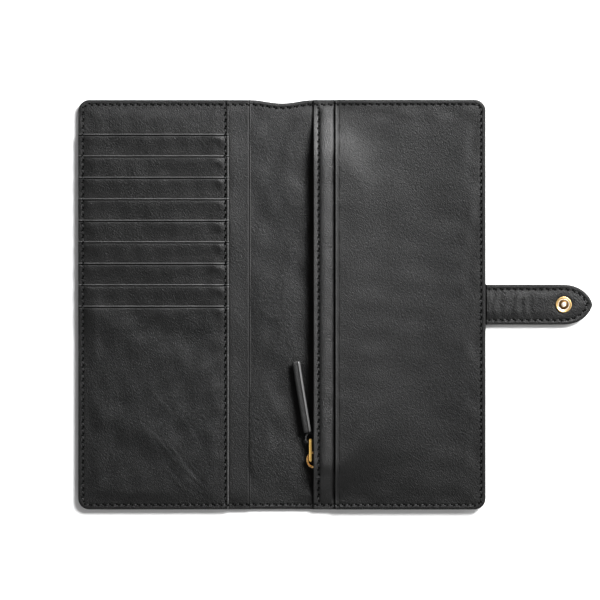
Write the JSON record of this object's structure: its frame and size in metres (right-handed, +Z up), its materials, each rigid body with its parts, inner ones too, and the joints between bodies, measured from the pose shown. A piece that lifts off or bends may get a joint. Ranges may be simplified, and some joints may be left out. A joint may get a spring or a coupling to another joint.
{
  "type": "travel document wallet",
  "caption": "Open leather travel document wallet with card pockets, passport pocket, zip pocket, slip pockets and a snap strap that closes it.",
  "frame": {"origin": "middle of the spine's outer face, which lies on the table when the wallet is open", "axes": "+X from the spine to the closing strap, +Y to the head of the wallet, +Z up out of the open wallet"},
  "size_m": [0.3257, 0.2594, 0.0116],
  "materials": {
    "cover_leather": "fine-grained black leather, satin",
    "lining_leather": "smooth black lining leather, satin",
    "pocket_leather": "soft fine-grained black leather, satin",
    "strap_leather": "fine-grained black leather, creased at its root",
    "pull_leather": "black leather with polished edges",
    "board": "pressed grey fibre board",
    "lining_cloth": "thin woven black lining cloth",
    "zip_tape": "woven black tape",
    "gold_metal": "polished light gold plating",
    "thread": "waxed black thread"
  },
  "bodies": {
    "back": {"outer_cover_back": "cover_leather", "back_board": "board", "back_lining": "lining_leather", "zip_pocket_lining": "lining_cloth", "zip_pocket_panel": "pocket_leather", "slip_pocket_panel": "pocket_leather", "zip_tape_upper": "zip_tape", "zip_tape_lower": "zip_tape", "zip_teeth_upper": "gold_metal", "zip_teeth_lower": "gold_metal", "zip_top_stop": "gold_metal", "zip_bottom_stop": "gold_metal", "strap_anchor": "strap_leather", "back_edge_thread": "thread", "zip_panel_thread": "thread"},
    "spine": {"outer_cover_spine": "cover_leather", "spine_board": "board", "spine_lining": "lining_leather", "spine_head_thread": "thread", "spine_foot_thread": "thread"},
    "front": {"outer_cover_front": "cover_leather", "front_board": "board", "front_lining": "lining_leather", "long_pocket_panel": "pocket_leather", "card_panel_backing": "pocket_leather", "card_pocket_1": "pocket_leather", "card_pocket_2": "pocket_leather", "card_pocket_3": "pocket_leather", "card_pocket_4": "pocket_leather", "card_pocket_5": "pocket_leather", "card_pocket_6": "pocket_leather", "card_pocket_7": "pocket_leather", "card_pocket_8": "pocket_leather", "passport_pocket_panel": "pocket_leather", "snap_socket": "gold_metal", "snap_socket_washer": "gold_metal", "front_edge_thread": "thread", "card_panel_thread": "thread"},
    "strap_root": {"strap_base_outer": "strap_leather", "strap_base_inner": "strap_leather", "strap_base_thread_head": "thread", "strap_base_thread_foot": "thread"},
    "strap_tip": {"strap_tip_outer": "strap_leather", "strap_tip_inner": "strap_leather", "snap_stud": "gold_metal", "snap_cap": "gold_metal", "strap_tip_thread": "thread"},
    "slider": {"slider_face_plate": "gold_metal", "slider_back_plate": "gold_metal", "slider_bridge": "gold_metal"},
    "tab": {"pull_tab": "gold_metal"},
    "pull": {"pull_loop": "pull_leather", "leather_pull": "pull_leather"}
  },
  "joints": [
    {"name": "spine_fold", "type": "hinge", "parent": "back", "child": "spine", "pos_m": [0.005, 0, 0.005], "axis": [0, 1, 0], "range_deg": [0, 90]},
    {"name": "front_fold", "type": "hinge", "parent": "spine", "child": "front", "pos_m": [-0.005, 0, 0.005], "axis": [0, 1, 0], "range_deg": [0, 90]},
    {"name": "strap_root_fold", "type": "hinge", "parent": "back", "child": "strap_root", "pos_m": [0.1276, 0, 0.0062], "axis": [0, -1, 0], "range_deg": [0, 90]},
    {"name": "strap_tip_fold", "type": "hinge", "parent": "strap_root", "child": "strap_tip", "pos_m": [0.1406, 0, 0.0062], "axis": [0, -1, 0], "range_deg": [0, 90]},
    {"name": "zip_slide", "type": "slide", "parent": "back", "child": "slider", "axis": [0, 1, 0], "range_m": [-0.0015, 0.18]},
    {"name": "tab_swing", "type": "hinge", "parent": "slider", "child": "tab", "pos_m": [0.0181, -0.0984, 0.0062], "axis": [0, 0, 1], "range_deg": [0, 90]},
    {"name": "pull_swing", "type": "hinge", "parent": "tab", "child": "pull", "pos_m": [0.0181, -0.0857, 0.0062], "axis": [0, 0, 1], "range_deg": [-6, 80]}
  ],
  "couplings": [
    {"joint": "front_fold", "follows": "spine_fold", "ratio": 1}
  ]
}
